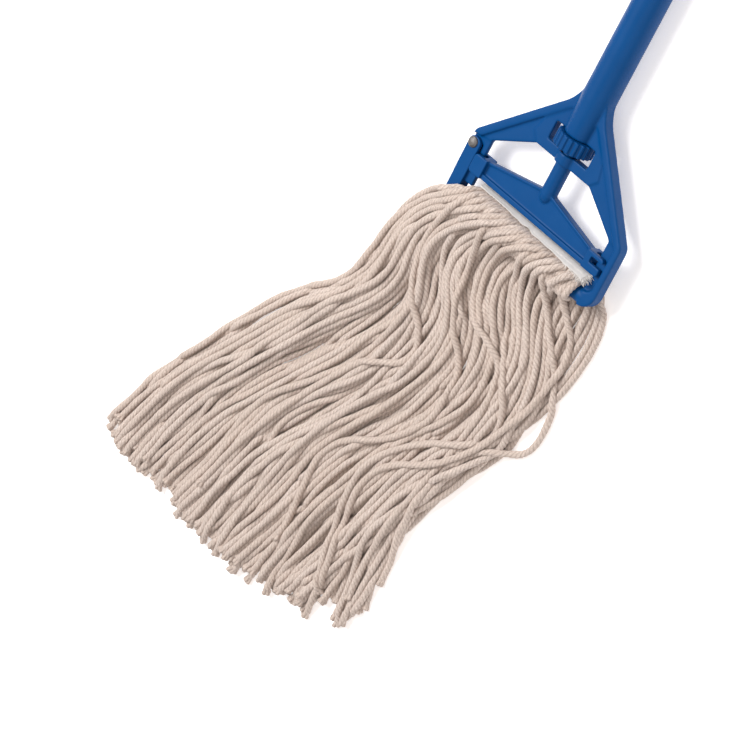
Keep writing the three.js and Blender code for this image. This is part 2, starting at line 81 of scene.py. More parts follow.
def area_light(name, place, size, power, colour):
    data = bpy.data.lights.new(name, "AREA")
    data.shape = "SQUARE"
    data.size = size
    data.energy = power
    data.color = colour
    light = bpy.data.objects.new(name, data)
    light.location = place
    light.rotation_euler = (Vector(LIGHT_AIM) - Vector(place)).to_track_quat("-Z", "Y").to_euler()
    bpy.context.scene.collection.objects.link(light)


def make_studio():
    scene = bpy.context.scene
    scene.view_settings.view_transform = "Standard"
    world = bpy.data.worlds.new("studio")
    world.use_nodes = True
    background = world.node_tree.nodes["Background"]
    background.inputs["Color"].default_value = SKY_COLOUR
    background.inputs["Strength"].default_value = SKY_STRENGTH
    scene.world = world
    for name, settings in LIGHTS.items():
        area_light(name, *settings)
    mesh = bpy.data.meshes.new("floor")
    corners = [(-1, -1), (1, -1), (1, 1), (-1, 1)]
    places = [(x * FLOOR_HALF, y * FLOOR_HALF, 0.0) for x, y in corners]
    mesh.from_pydata(places, [], [(0, 1, 2, 3)])
    floor = bpy.data.objects.new("floor", mesh)
    scene.collection.objects.link(floor)
    mesh.materials.append(floor_material())


# ---- node materials ----
STRAND_PLIES = 4
WARP_PITCH, WEFT_PITCH = 0.0012, 0.0009


class Surface:
    """A material with one Principled shader, and short ways to add nodes to it."""

    def __init__(self, name, **settings):
        self.material = bpy.data.materials.new(name)
        self.material.use_nodes = True
        self.tree = self.material.node_tree
        self.shader = self.tree.nodes["Principled BSDF"]
        for socket, value in settings.items():
            self.shader.inputs[socket.replace("_", " ")].default_value = value

    def add(self, kind, inputs=None, **settings):
        node = self.tree.nodes.new(kind)
        for key, value in settings.items():
            setattr(node, key, value)
        for key, value in (inputs or {}).items():
            if isinstance(value, bpy.types.NodeSocket):
                self.tree.links.new(value, node.inputs[key])
            else:
                node.inputs[key].default_value = value
        return node

    def place(self):
        return self.add("ShaderNodeTexCoord").outputs["Object"]

    def noise(self, vector, scale, detail=3.0, roughness=0.5, distortion=0.0):
        return self.add("ShaderNodeTexNoise", {
            "Vector": vector, "Scale": scale, "Detail": detail, "Roughness": roughness,
            "Distortion": distortion}).outputs["Fac"]

    def stretched(self, vector, scale):
        return self.add("ShaderNodeMapping", {"Vector": vector, "Scale": scale}).outputs["Vector"]

    def spread(self, value, low, high, to_low=0.0, to_high=1.0):
        return self.add("ShaderNodeMapRange", {
            "Value": value, "From Min": low, "From Max": high,
            "To Min": to_low, "To Max": to_high}).outputs["Result"]

    def blend(self, factor, first, second):
        node = self.add("ShaderNodeMix", data_type="RGBA")
        for index, value in ((0, factor), (6, first), (7, second)):
            if isinstance(value, bpy.types.NodeSocket):
                self.tree.links.new(value, node.inputs[index])
            else:
                node.inputs[index].default_value = value
        return node.outputs[2]

    def maths(self, operation, first, second=0.0):
        node = self.add("ShaderNodeMath", operation=operation)
        for index, value in enumerate((first, second)):
            if isinstance(value, bpy.types.NodeSocket):
                self.tree.links.new(value, node.inputs[index])
            else:
                node.inputs[index].default_value = value
        return node.outputs[0]

    def bump(self, height, distance, strength=1.0, under=None):
        inputs = {"Height": height, "Distance": distance, "Strength": strength}
        if under is not None:
            inputs["Normal"] = under
        return self.add("ShaderNodeBump", inputs).outputs["Normal"]

    def drive(self, socket, value):
        self.tree.links.new(value, self.shader.inputs[socket])


def floor_material():
    # a little light of its own keeps the shadows as pale as on a lit table
    s = Surface("floor", Roughness=0.6, Emission_Strength=0.42, Emission_Color=(1.0, 0.97, 0.96, 1))
    grain = s.noise(s.place(), 3.0)
    s.drive("Base Color", s.blend(grain, (0.90, 0.90, 0.90, 1), (0.93, 0.925, 0.92, 1)))
    return s.material


def moulded_blue():
    s = Surface("moulded_blue", Specular_IOR_Level=0.15)
    place = s.place()
    cloud = s.noise(place, 22.0, 4.0)
    s.drive("Base Color", s.blend(cloud, (0.0003, 0.052, 0.190, 1), (0.0003, 0.065, 0.232, 1)))
    fine = s.noise(place, 900.0, 2.0)
    s.drive("Roughness", s.spread(s.noise(place, 60.0, 5.0, 0.6), 0.3, 0.7, 0.34, 0.50))
    s.drive("Normal", s.bump(fine, 0.00012, 0.35))
    return s.material


def steel():
    s = Surface("steel", Metallic=1.0)
    place = s.place()
    s.drive("Base Color", s.blend(s.noise(place, 300.0), (0.14, 0.135, 0.135, 1), (0.26, 0.25, 0.245, 1)))
    s.drive("Roughness", s.spread(s.noise(place, 900.0, 4.0), 0.3, 0.7, 0.42, 0.60))
    s.drive("Normal", s.bump(s.noise(place, 1500.0), 0.00005, 0.5))
    return s.material


def anodised():
    s = Surface("anodised_aluminium", Metallic=1.0)
    place = s.place()
    drawn = s.noise(s.stretched(place, (900.0, 6.0, 900.0)), 1.0, 3.0)
    s.drive("Base Color", s.blend(drawn, (0.50, 0.51, 0.53, 1), (0.60, 0.61, 0.63, 1)))
    s.drive("Roughness", s.spread(drawn, 0.3, 0.7, 0.28, 0.42))
    s.drive("Normal", s.bump(drawn, 0.00004, 0.6))
    return s.material


def nylon():
    s = Surface("nylon", Roughness=0.55)
    place = s.place()
    s.drive("Base Color", s.blend(s.noise(place, 40.0), (0.62, 0.59, 0.50, 1), (0.70, 0.67, 0.59, 1)))
    s.drive("Normal", s.bump(s.noise(place, 700.0), 0.00008, 0.4))
    return s.material


def cotton():
    """Twisted cotton. The first UV coordinate goes once round a strand and the second runs along it."""
    s = Surface("cotton", Roughness=0.95, Specular_IOR_Level=0.12, Sheen_Weight=0.25, Sheen_Roughness=0.6)
    along = s.add("ShaderNodeUVMap", uv_map="strand").outputs["UV"]
    tint = s.add("ShaderNodeAttribute", attribute_name="tint").outputs["Fac"]
    place = s.place()
    # one groove for each ply that goes round a strand, painted darker as shade
    around = s.add("ShaderNodeSeparateXYZ", {"Vector": along}).outputs["X"]
    groove = s.maths("COSINE", s.maths("MULTIPLY", around, 2 * STRAND_PLIES * math.pi))
    fibres = s.noise(s.stretched(along, (26.0, 420.0, 1.0)), 1.0, 4.0, 0.65, 0.4)
    fuzz = s.noise(place, 620.0, 4.0, 0.75)
    blotch = s.noise(place, 40.0, 3.0)
    pale = s.blend(tint, (0.82, 0.695, 0.615, 1), (0.93, 0.82, 0.755, 1))
    worn = s.blend(s.spread(blotch, 0.35, 0.7), pale, (0.86, 0.745, 0.675, 1))
    # painted shade: the low parts of the fibre pattern, which the fibre bump sinks, are darkened
    fibre_shaded = s.blend(s.spread(fibres, 0.28, 0.6, 0.5, 0.0), worn, (0.42, 0.32, 0.265, 1))
    # painted shade: the strand is darkened in the grooves between its plies
    twisted = s.blend(s.spread(groove, -1.0, -0.1, 0.5, 0.0), fibre_shaded, (0.36, 0.27, 0.22, 1))
    # painted shade: the low parts of the fuzz, which the fuzz bump sinks, are darkened
    fuzz_shaded = s.blend(s.spread(fuzz, 0.34, 0.56, 0.7, 0.0), twisted, (0.42, 0.32, 0.27, 1))
    s.drive("Base Color", fuzz_shaded)
    s.drive("Normal", s.bump(fuzz, 0.0016, 0.9, s.bump(fibres, 0.0007, 0.9)))
    return s.material


def woven_tape():
    """Cotton tape. Its UV map is in metres, along it and across it."""
    s = Surface("woven_tape", Roughness=0.9, Specular_IOR_Level=0.15, Sheen_Weight=0.25, Sheen_Roughness=0.5)
    flat = s.add("ShaderNodeUVMap", uv_map="weave").outputs["UV"]
    weave = s.add("ShaderNodeSeparateXYZ", {"Vector": flat})
    warp = s.maths("SINE", s.maths("MULTIPLY", weave.outputs["X"], 2 * math.pi / WARP_PITCH))
    weft = s.maths("SINE", s.maths("MULTIPLY", weave.outputs["Y"], 2 * math.pi / WEFT_PITCH))
    cloth = s.maths("MULTIPLY", warp, weft)
    place = s.place()
    soiled = s.blend(s.noise(place, 70.0, 4.0), (0.82, 0.79, 0.76, 1), (0.96, 0.95, 0.94, 1))
    # painted shade: the weave's low places, which the weave bump sinks, are darkened
    s.drive("Base Color", s.blend(s.spread(cloth, -1.0, 0.2, 0.25, 0.0), soiled, (0.62, 0.57, 0.53, 1)))
    s.drive("Normal", s.bump(cloth, 0.0003, 0.8, s.bump(s.noise(place, 350.0), 0.0012, 0.6)))
    return s.material


def sewing_thread():
    s = Surface("sewing_thread", Roughness=0.85, Specular_IOR_Level=0.2, Sheen_Weight=0.2)
    grain = s.noise(s.place(), 800.0)
    s.drive("Base Color", s.blend(grain, (0.74, 0.71, 0.68, 1), (0.90, 0.88, 0.86, 1)))
    s.drive("Normal", s.bump(grain, 0.0004, 0.6))
    return s.material


# ---- the yarn ----
# Guides for each half, seen from above, in millimetres: from the headband round to the tips.
UPPER_GUIDES = [
    [(-62, 17), (-77, 2), (-99, -17), (-124, -38), (-142, -62), (-152, -90), (-154, -128),
     (-165, -155), (-192, -187), (-227, -234), (-263, -288), (-303, -355), (-344, -441)],
    [(-33, 17), (-66, -3), (-98, -30), (-118, -60), (-115, -86), (-110, -106), (-117, -136),
     (-145, -174), (-177, -214), (-232, -288), (-268, -352), (-306, -447)],
    [(-2, 17), (-42, -2), (-70, -29), (-80, -56), (-71, -80), (-56, -98), (-52, -128),
     (-70, -175), (-104, -237), (-140, -300), (-175, -376), (-193, -466)],
    [(28, 17), (2, 5), (-27, -20), (-41, -48), (-36, -72), (-15, -91), (-1, -115),
     (-6, -155), (-30, -210), (-62, -278), (-90, -348), (-127, -453)],
    [(59, 17), (36, 5), (16, -21), (15, -47), (30, -68), (47, -90), (52, -127),
     (42, -184), (22, -240), (-7, -300), (-29, -358), (-47, -446)],
    [(76, 17), (63, 0), (55, -26), (59, -52), (75, -78), (84, -117), (73, -175),
     (44, -238), (24, -296), (14, -350), (20, -384), (15, -426)],
]
LOWER_GUIDES = [
    [(-62, 12), (-84, -8), (-112, -32), (-132, -62), (-142, -96), (-150, -130), (-172, -172),
     (-205, -222), (-246, -290), (-285, -360), (-322, -444)],
    [(-15, 12), (-40, -8), (-66, -34), (-84, -66), (-86, -100), (-84, -134), (-104, -180),
     (-136, -240), (-172, -310), (-205, -385), (-235, -458)],
    [(35, 12), (24, -8), (6, -32), (-6, -62), (0, -96), (12, -130), (4, -178),
     (-24, -240), (-60, -312), (-94, -385), (-124, -460)],
    [(78, 12), (93, 3), (101, -16), (102, -46), (94, -88), (78, -141), (54, -208),
     (31, -268), (17, -322), (15, -356), (21, -386), (17, -416)],
]
# Strands of the upper half that leave their neighbours, by number, with their whole routes.
PLACED_ROUTES = {
    3: [(-55, 17), (-75, -8), (-100, -58), (-88, -110), (-56, -138), (-53, -176), (-78, -184),
        (-102, -198), (-117, -222), (-138, -258), (-178, -338), (-205, -422)],
    21: [(-19, 17), (-32, 4), (-45, -58), (-28, -114), (2, -148), (-5, -204), (-36, -243),
         (-70, -267), (-90, -282), (-101, -306), (-98, -334), (-94, -410)],
    30: [(0, 17), (-12, 5), (-30, -40), (-28, -80), (-8, -95), (10, -98), (30, -104),
         (46, -140), (36, -202), (14, -284), (0, -350), (8, -412)],
    45: [(29, 17), (18, 8), (5, -40), (14, -85), (48, -116), (67, -152), (55, -186),
         (2, -220), (-42, -266), (-49, -306), (-45, -348), (-28, -426)],
    54: [(47, 17), (42, 8), (42, -20), (54, -47), (77, -70), (97, -104), (103, -133),
         (103, -160), (92, -175), (60, -184), (32, -228), (19, -300), (21, -372)],
    63: [(66, 17), (62, 6), (60, -22), (91, -54), (83, -125), (62, -176), (32, -224),
         (-22, -260), (-41, -290), (-40, -324), (-31, -376), (-36, -448)],
}
FOLD_LEFT, FOLD_RIGHT = -61.0, 76.0
STRANDS = 69
ROWS = 3
ROW_REACH = (18.0, 14.9, 12.0)
ROW_HEIGHT = (16.6, 13.6, 11.0)
BAR_Z = 25.0
STRAND_RADIUS = 3.5
POINTS = 112
FOLD_POINTS = 7
CURVE_STEPS = 12
PLANNED_LENGTH = 520.0
STRANDS_IN_LOCK = 5
RELEASE_LEFT, RELEASE_RIGHT = math.radians(19), math.radians(36)
LOCK_BREAKS = 0.28
LOCK_WANDER = 5.5
STRAND_WANDER = 2.2
RESTLESS_SHARE = 0.2
RESTLESS_WANDER = 3.6
UPPER_LOCK_DRAW, LOWER_LOCK_DRAW = 0.34, 0.1
CUT_LOCKS, CUT_STRANDS = 0.028, 0.026
PLACED_LEVEL = 7.0  # how far up in the pile a placed strand is kept, against 0 to 4 for the others
UPPER_PILE, LOWER_PILE = 21.0, 5.0  # heights at which the outer row of each half lies
ROW_STEP = 2.0
CREST_PLACE, CREST_WIDTH = 22.0, 22.0  # the upper half rises a little where it leaves the tape
CREST_LEFT, CREST_GROWTH = 4.0, 5.0
UPPER_FALL, UPPER_FALL_SHAPE, LOWER_FALL = 75.0, 1.3, 22.0
JOIN_LENGTH = 30.0
SETTLE_ROUNDS = 220
SETTLED_SHARE = 0.96  # pressed strands lie a little closer than their width
SEARCH_EVERY, SEARCH_MARGIN = 5, 2.0
PUSH, SIDEWAYS_PUSH, LEVEL_PUSH = 0.42, 0.45, 0.25
ROUTE_PULL, SINK = 0.055, 0.3
SMOOTHING = ((1, 0.24), (3, 0.09))  # how many points away, and the share of the way
BAR_CLEAR, BAR_HALF_LENGTH = 8.0, 98
FOOT_HALF_HEIGHT = 6.5
FEET = ((-101, -77, -8, 50), (82, 101, -8, 60))  # gate's foot and right corner: x from, to, y from, to


def curve_through(points, count):
    """A smooth curve through the points, as count points the same distance apart."""
    p = np.asarray(points, float)
    p = np.vstack([2 * p[0] - p[1], p, 2 * p[-1] - p[-2]])
    t = np.linspace(0.0, 1.0, CURVE_STEPS, endpoint=False)[:, None]
    parts = []
    for a, b, c, d in zip(p, p[1:], p[2:], p[3:]):
        parts.append(0.5 * (2 * b + (c - a) * t + (2 * a - 5 * b + 4 * c - d) * t ** 2
                            + (3 * b - a - 3 * c + d) * t ** 3))
    return evenly(np.vstack(parts + [p[-2:-1]]), count)


def evenly(line, count):
    along = np.r_[0.0, np.cumsum(np.linalg.norm(np.diff(line, axis=0), axis=1))]
    wanted = np.linspace(0.0, along[-1], count)
    return np.stack([np.interp(wanted, along, column) for column in line.T], 1)


def wander(rng, rows, knots, size, count):
    """Smooth random offsets that begin at nothing: one row of count values for each strand."""
    values = rng.normal(0.0, size, (rows, knots, 1))
    values[:, 0] = 0.0
    places = np.linspace(0, 1, knots)[:, None] * 100
    return np.stack([curve_through(np.hstack([places, value]), count)[:, 1] for value in values])


def plan_paths(rng, guides, u, draw):
    """Each strand's route seen from above, between its two nearest guides, with its own small wander."""
    free = POINTS - FOLD_POINTS
    lines = np.stack([curve_through(g, free) for g in guides])
    guide_u = (lines[:, 0, 0] - lines[0, 0, 0]) / (lines[-1, 0, 0] - lines[0, 0, 0])
    flat = lines.reshape(len(guides), -1)
    between = np.stack([np.interp(u, guide_u, column) for column in flat.T], 1)
    paths = between.reshape(len(u), free, 2)
    # locks: a few neighbours draw together and wander together, each with a wander of its own
    lock = np.cumsum(rng.random(len(u)) < LOCK_BREAKS)
    together = wander(rng, lock[-1] + 1, 7, LOCK_WANDER, free)[lock]
    alone = wander(rng, len(u), 8, STRAND_WANDER, free)
    alone[rng.random(len(u)) < RESTLESS_SHARE] *= RESTLESS_WANDER
    direction = np.gradient(paths, axis=1)
    direction /= np.linalg.norm(direction, axis=2, keepdims=True)
    sideways = np.stack([-direction[..., 1], direction[..., 0]], 2)
    middles = np.stack([paths[lock == number].mean(0) for number in range(lock[-1] + 1)])
    drawn = np.linspace(0.0, 1.0, free)[None, :, None] ** 0.5 * draw
    return paths + drawn * (middles[lock] - paths) + sideways * (together + alone)[..., None]


def yarn_half(rng, guides, upper):
    """First positions of one half's strands, in millimetres: from inside the fold to the tips."""
    u = np.arange(STRANDS) / (STRANDS - 1)
    row = np.arange(STRANDS) % ROWS
    draw = UPPER_LOCK_DRAW if upper else LOWER_LOCK_DRAW
    paths = plan_paths(rng, guides, u, draw)
    if upper:
        for number, route in PLACED_ROUTES.items():
            paths[number] = curve_through(route, paths.shape[1])
    reach = np.array(ROW_REACH)[row][:, None]
    height = np.array(ROW_HEIGHT)[row][:, None]
    x = FOLD_LEFT + (FOLD_RIGHT - FOLD_LEFT) * u
    turn = release_angle(x)[:, None] * np.linspace(0.0, 1.0, FOLD_POINTS)
    side = 1.0 if upper else -1.0
    fold = np.stack([np.broadcast_to(x[:, None], (STRANDS, FOLD_POINTS)), reach * np.cos(turn),
                     BAR_Z + side * height * np.sin(turn)], 2)
    distance = np.linspace(0.0, PLANNED_LENGTH, paths.shape[1])[None, :]
    start = fold[:, -1:, 2]
    if upper:
        rest = UPPER_PILE - ROW_STEP * row[:, None]
        z = rest + (start - rest) * np.exp(-(distance / UPPER_FALL) ** UPPER_FALL_SHAPE)
        crest = CREST_LEFT + CREST_GROWTH * u[:, None]
        z += crest * np.exp(-((distance - CREST_PLACE) / CREST_WIDTH) ** 2)
    else:
        rest = LOWER_PILE + ROW_STEP * row[:, None]
        z = rest + (start - rest) * np.exp(-distance / LOWER_FALL)
    shift = fold[:, -1:, :2] - paths[:, :1]
    paths = paths + shift * np.exp(-distance / JOIN_LENGTH)[..., None]
    free = np.concatenate([paths, z[..., None]], 2)
    whole = np.concatenate([fold, free[:, 1:], free[:, -1:]], 1)[:, :POINTS]
    locks = rng.uniform(0.0, CUT_LOCKS, STRANDS // STRANDS_IN_LOCK + 1)
    lock = locks[np.arange(STRANDS) // STRANDS_IN_LOCK]
    cut = 1.0 - lock - rng.uniform(0.0, CUT_STRANDS, STRANDS)
    return np.stack([part_of(line, POINTS, share) for line, share in zip(whole, cut)])


def part_of(line, count, share):
    """The first share of a line, keeping the points of its fold."""
    free = line[FOLD_POINTS - 1:]
    kept = max(2, int(round(len(free) * share)))
    return np.vstack([line[:FOLD_POINTS - 1], evenly(free[:kept], count - FOLD_POINTS + 1)])


def near_pairs(points, strand, reach):
    """Pairs of points of different strands, closer than reach."""
    cell = np.floor((points - points.min(0)) / reach).astype(np.int64) + 1
    size = cell.max(0) + 2
    key = (cell[:, 0] * size[1] + cell[:, 1]) * size[2] + cell[:, 2]
    order = np.argsort(key, kind="stable")
    ordered = key[order]
    first, second = [], []
    for dx in (0, 1):
        for dy in (-1, 0, 1):
            for dz in (-1, 0, 1):
                if (dx, dy, dz) < (0, 0, 0):
                    continue
                wanted = key + (dx * size[1] + dy) * size[2] + dz
                low = np.searchsorted(ordered, wanted, "left")
                count = np.searchsorted(ordered, wanted, "right") - low
                i = np.repeat(np.arange(len(points)), count)
                before = np.repeat(low - np.r_[0, np.cumsum(count)[:-1]], count)
                j = order[before + np.arange(count.sum())]
                if (dx, dy, dz) == (0, 0, 0):
                    keep = (j > i) & (strand[i] != strand[j])
                else:
                    keep = strand[i] != strand[j]
                first.append(i[keep])
                second.append(j[keep])
    i, j = np.concatenate(first), np.concatenate(second)
    near = ((points[i] - points[j]) ** 2).sum(1) < reach ** 2
    return i[near], j[near]


def keep_off_frame(points):
    """Moves points out of the floor, the crossbar, the gate's foot and the right corner."""
    x, y, z = points.T
    z[:] = np.maximum(z, STRAND_RADIUS)
    clear = BAR_CLEAR + STRAND_RADIUS
    up = z - BAR_Z
    far = np.hypot(y, up)
    inside = (far < clear) & (np.abs(x) < BAR_HALF_LENGTH)
    push = clear / np.maximum(far[inside], 1e-6)
    y[inside] *= push
    z[inside] = BAR_Z + up[inside] * push
    r = STRAND_RADIUS
    height = FOOT_HALF_HEIGHT + r
    for x0, x1, y0, y1 in FEET:
        inside = (x > x0 - r) & (x < x1 + r) & (y > y0 - r) & (y < y1) & (np.abs(z - BAR_Z) < height)
        z[inside] = BAR_Z + np.where(z[inside] > BAR_Z, 1, -1) * height


def settle(lines, level, rounds):
    """Lets the strands sink on to the floor and each other without passing through, in millimetres."""
    strands, count, _ = lines.shape
    strand = np.repeat(np.arange(strands), count)
    bias = np.repeat(level, count)
    target = lines[..., :2].copy()
    pinned = lines[:, :FOLD_POINTS].copy()
    thick = 2 * STRAND_RADIUS * SETTLED_SHARE
    for step in range(rounds):
        flat = lines.reshape(-1, 3)
        if step % SEARCH_EVERY == 0:
            i, j = near_pairs(flat, strand, thick + SEARCH_MARGIN)
        gap = flat[i] - flat[j]
        gap[:, 2] += LEVEL_PUSH * (bias[i] - bias[j])
        far = np.sqrt((gap ** 2).sum(1)) + 1e-9
        push = np.maximum(thick - far, 0.0)[:, None] * gap / far[:, None] * PUSH
        push[:, :2] *= SIDEWAYS_PUSH
        for axis in range(3):
            along = push[:, axis]
            flat[:, axis] += np.bincount(i, along, len(flat)) - np.bincount(j, along, len(flat))
        lines[..., :2] += ROUTE_PULL * (target - lines[..., :2])
        lines[..., 2] -= SINK
        for reach, share in SMOOTHING:
            middle = 0.5 * (lines[:, 2 * reach:] + lines[:, :-2 * reach])
            lines[:, reach:-reach] += share * (middle - lines[:, reach:-reach])
        keep_off_frame(lines.reshape(-1, 3))
        lines[:, :FOLD_POINTS] = pinned
    return lines


# ---- strands as meshes ----
PLY_OFFSET = 1.45
PLY_RADIUS = 2.0
TWIST_LENGTH = 20.0
RING_STEP = {"upper": 2.3, "lower": 3.4}
SIDES = {"upper": 14, "lower": 10}
CORDS = 40
SPLIT_LENGTH = 6.0  # how far back from its end a strand comes apart into its plies
CUT_PLY_LENGTH = 7.0
CUT_PLY_RADII = (1.8, 1.95, 2.2, 2.35, 2.0)
CUT_PLY_SIDES, FIBRE_SIDES = 8, 4
THINNED = 0.3  # what is left of a strand's radius between its cut plies
FIBRES = 14
FIBRE_RADIUS = 0.16


def ply_profile(angle):
    """How far four touching round plies reach from the strand's middle, in that direction."""
    nearest = (angle + math.pi / 4) % (math.pi / 2) - math.pi / 4
    return PLY_OFFSET * np.cos(nearest) + np.sqrt(PLY_RADIUS ** 2 - (PLY_OFFSET * np.sin(nearest)) ** 2)


def lengths_along(lines):
    steps = np.linalg.norm(np.diff(lines, axis=1), axis=2)
    return np.concatenate([np.zeros((len(lines), 1)), np.cumsum(steps, axis=1)], 1)


def frames_along(lines):
    """The direction at each point, and two crosswise ones carried along each line without twisting."""
    tangent = np.gradient(lines, axis=1)
    tangent /= np.linalg.norm(tangent, axis=2, keepdims=True)
    first = np.empty_like(lines)
    side = np.cross(tangent[:, 0], (0.12, 0.33, 0.94))
    for k in range(lines.shape[1]):
        side = side - tangent[:, k] * (side * tangent[:, k]).sum(1, keepdims=True)
        side /= np.linalg.norm(side, axis=1, keepdims=True)
        first[:, k] = side
    return tangent, first, np.cross(tangent, first)


def rings_around(lines, first, second, angle, radius):
    """Points round every line at the given angles and radii: (lines, rings, sides, 3)."""
    return lines[:, :, None] + radius[..., None] * (
        np.cos(angle)[..., None] * first[:, :, None] + np.sin(angle)[..., None] * second[:, :, None])


def spun_strands(rng, lines, sides):
    """The twisted section along every strand, and what its cut plies need: their start and directions."""
    tangent, first, second = frames_along(lines)
    along = lengths_along(lines)
    phase = rng.uniform(0, 2 * math.pi, (len(lines), 1))
    pitch = TWIST_LENGTH * rng.uniform(0.88, 1.15, (len(lines), 1))
    twist = phase - 2 * math.pi * along / pitch
    section = 2 * math.pi * np.arange(sides) / sides
    uneven = 1.0 + 0.05 * np.sin(along / 9.0 + phase) + 0.035 * np.sin(along / 3.3 + 2 * phase)
    full = STRAND_RADIUS / (PLY_OFFSET + PLY_RADIUS)
    radius = ply_profile(section) * uneven[..., None] * full
    # the strand thins away between its cut plies
    left = along[:, -1:] - along
    radius *= np.clip(THINNED + (1.0 - THINNED) * left / SPLIT_LENGTH, THINNED, 1.0)[..., None]
    rings = rings_around(lines, first, second, section + twist[..., None], radius)
    split = -1 - round(SPLIT_LENGTH * lines.shape[1] / along[:, -1].mean())
    cut = {"middle": lines[:, split], "ahead": tangent[:, split], "first": first[:, split],
           "second": second[:, split], "twist": twist[:, split]}
    return rings, along, cut


def ray_tubes(starts, ahead, first, second, length, radii, sides):
    """Short straight tubes, one for each start, with the given radius at each of their rings."""
    share = np.linspace(0.0, 1.0, len(radii))
    lines = starts[:, None] + ahead[:, None] * length[:, None, None] * share[None, :, None]
    section = 2 * math.pi * np.arange(sides) / sides
    shape = (len(starts), len(radii), sides)
    angle = np.broadcast_to(section, shape)
    radius = np.broadcast_to(np.asarray(radii)[None, :, None], shape)
    first = np.broadcast_to(first[:, None], lines.shape)
    second = np.broadcast_to(second[:, None], lines.shape)
    return rings_around(lines, first, second, angle, radius), lengths_along(lines)


def cut_plies(rng, cut):
    """Where each strand's plies start past its end, a little apart, their directions and lengths."""
    turn = cut["twist"][:, None] + 2 * math.pi / STRAND_PLIES * np.arange(STRAND_PLIES)[None, :]
    out = (np.cos(turn)[..., None] * cut["first"][:, None]
           + np.sin(turn)[..., None] * cut["second"][:, None])
    count = len(turn)
    splay = rng.uniform(0.05, 0.27, (count, STRAND_PLIES, 1))
    ahead = cut["ahead"][:, None] + out * splay + rng.normal(0, 0.05, (count, STRAND_PLIES, 3))
    starts = cut["middle"][:, None] + out * PLY_OFFSET
    length = rng.uniform(0.65, 1.0, (count, STRAND_PLIES)) * CUT_PLY_LENGTH
    return starts, ahead / np.linalg.norm(ahead, axis=2, keepdims=True), length


def crosswise(ahead):
    first = np.cross(ahead, (0.31, 0.17, 0.93))
    first /= np.linalg.norm(first, axis=-1, keepdims=True)
    return first, np.cross(ahead, first)


def frayed_end(rng, starts, ahead, length):
    """The cut plies and loose fibres of one strand, as two sets of tubes."""
    first, second = crosswise(ahead)
    plies = ray_tubes(starts, ahead, first, second, length, CUT_PLY_RADII, CUT_PLY_SIDES)
    pick = rng.integers(0, STRAND_PLIES, FIBRES)
    loose = ahead[pick] + rng.uniform(-0.3, 0.3, (FIBRES, 3))
    loose /= np.linalg.norm(loose, axis=1, keepdims=True)
    tips = starts[pick] + ahead[pick] * length[pick, None] * 0.8 + rng.uniform(-0.8, 0.8, (FIBRES, 3))
    reach = rng.uniform(1.0, 2.2, FIBRES)
    radii = (FIBRE_RADIUS, FIBRE_RADIUS, 0.4 * FIBRE_RADIUS)
    return plies, ray_tubes(tips, loose, *crosswise(loose), reach, radii, FIBRE_SIDES)


class Tubes:
    """Gathers sets of closed tubes for one mesh, with a strand UV map and a tint for each."""

    def __init__(self):
        self.verts, self.loops, self.sizes, self.uvs, self.tints = [], [], [], [], []
        self.total = 0

    def add(self, rings, along, tint):
        count, length, sides, _ = rings.shape
        per = length * sides + 2
        middles = rings[:, (0, -1)].mean(2)
        self.verts.append(np.concatenate([rings.reshape(count, -1, 3), middles], 1).reshape(-1, 3))
        ring = np.arange(length - 1)[:, None] * sides
        j = np.arange(sides)[None, :]
        k = (j + 1) % sides
        quads = np.stack([ring + j, ring + k, ring + sides + k, ring + sides + j], -1).reshape(-1)
        last = (length - 1) * sides
        start = np.stack([k[0], j[0], np.full(sides, length * sides)], 1).ravel()
        end = np.stack([last + j[0], last + k[0], np.full(sides, length * sides + 1)], 1).ravel()
        base = self.total + (np.arange(count) * per)[:, None]
        self.loops.append((base + np.concatenate([quads, start, end])[None, :]).ravel())
        corners = np.r_[np.full((length - 1) * sides, 4), np.full(2 * sides, 3)]
        self.sizes.append(np.tile(corners, count))
        # once round the strand, and metres along it
        around = np.stack([j, j + 1, j + 1, j], -1) / sides
        around = np.broadcast_to(around, (length - 1, sides, 4))
        u = np.concatenate([around.ravel(), np.full(6 * sides, 0.5)])
        v = along * MM
        v_quads = np.stack([v[:, :-1], v[:, :-1], v[:, 1:], v[:, 1:]], -1)
        v_quads = np.broadcast_to(v_quads[:, :, None], (count, length - 1, sides, 4)).reshape(count, -1)
        v_caps = np.repeat(v[:, (0, -1)], 3 * sides, axis=1)
        v = np.concatenate([v_quads, v_caps], 1).ravel()
        self.uvs.append(np.stack([np.tile(u, count), v], 1))
        self.tints.append(np.full(count * per, tint))
        self.total += count * per

    def mesh(self, name):
        loops, sizes = np.concatenate(self.loops), np.concatenate(self.sizes)
        mesh = bpy.data.meshes.new(name)
        mesh.vertices.add(self.total)
        points = np.concatenate(self.verts) * MM
        points[:, 2] = np.maximum(points[:, 2], 0.0)  # what rests on the floor is flattened by it
        mesh.vertices.foreach_set("co", points.ravel())
        mesh.loops.add(len(loops))
        mesh.loops.foreach_set("vertex_index", loops)
        mesh.polygons.add(len(sizes))
        mesh.polygons.foreach_set("loop_start", np.r_[0, np.cumsum(sizes)[:-1]])
        mesh.update(calc_edges=True)
        mesh.polygons.foreach_set("use_smooth", np.ones(len(sizes), bool))
        uv = np.concatenate(self.uvs).ravel().astype(np.float32)
        mesh.uv_layers.new(name="strand").data.foreach_set("uv", uv)
        tint = mesh.attributes.new("tint", "FLOAT", "POINT")
        tint.data.foreach_set("value", np.concatenate(self.tints).astype(np.float32))
        return mesh


def add_object(name, mesh, material):
    mesh.materials.append(material)
    piece = bpy.data.objects.new(name, mesh)
    bpy.context.scene.collection.objects.link(piece)
    return piece


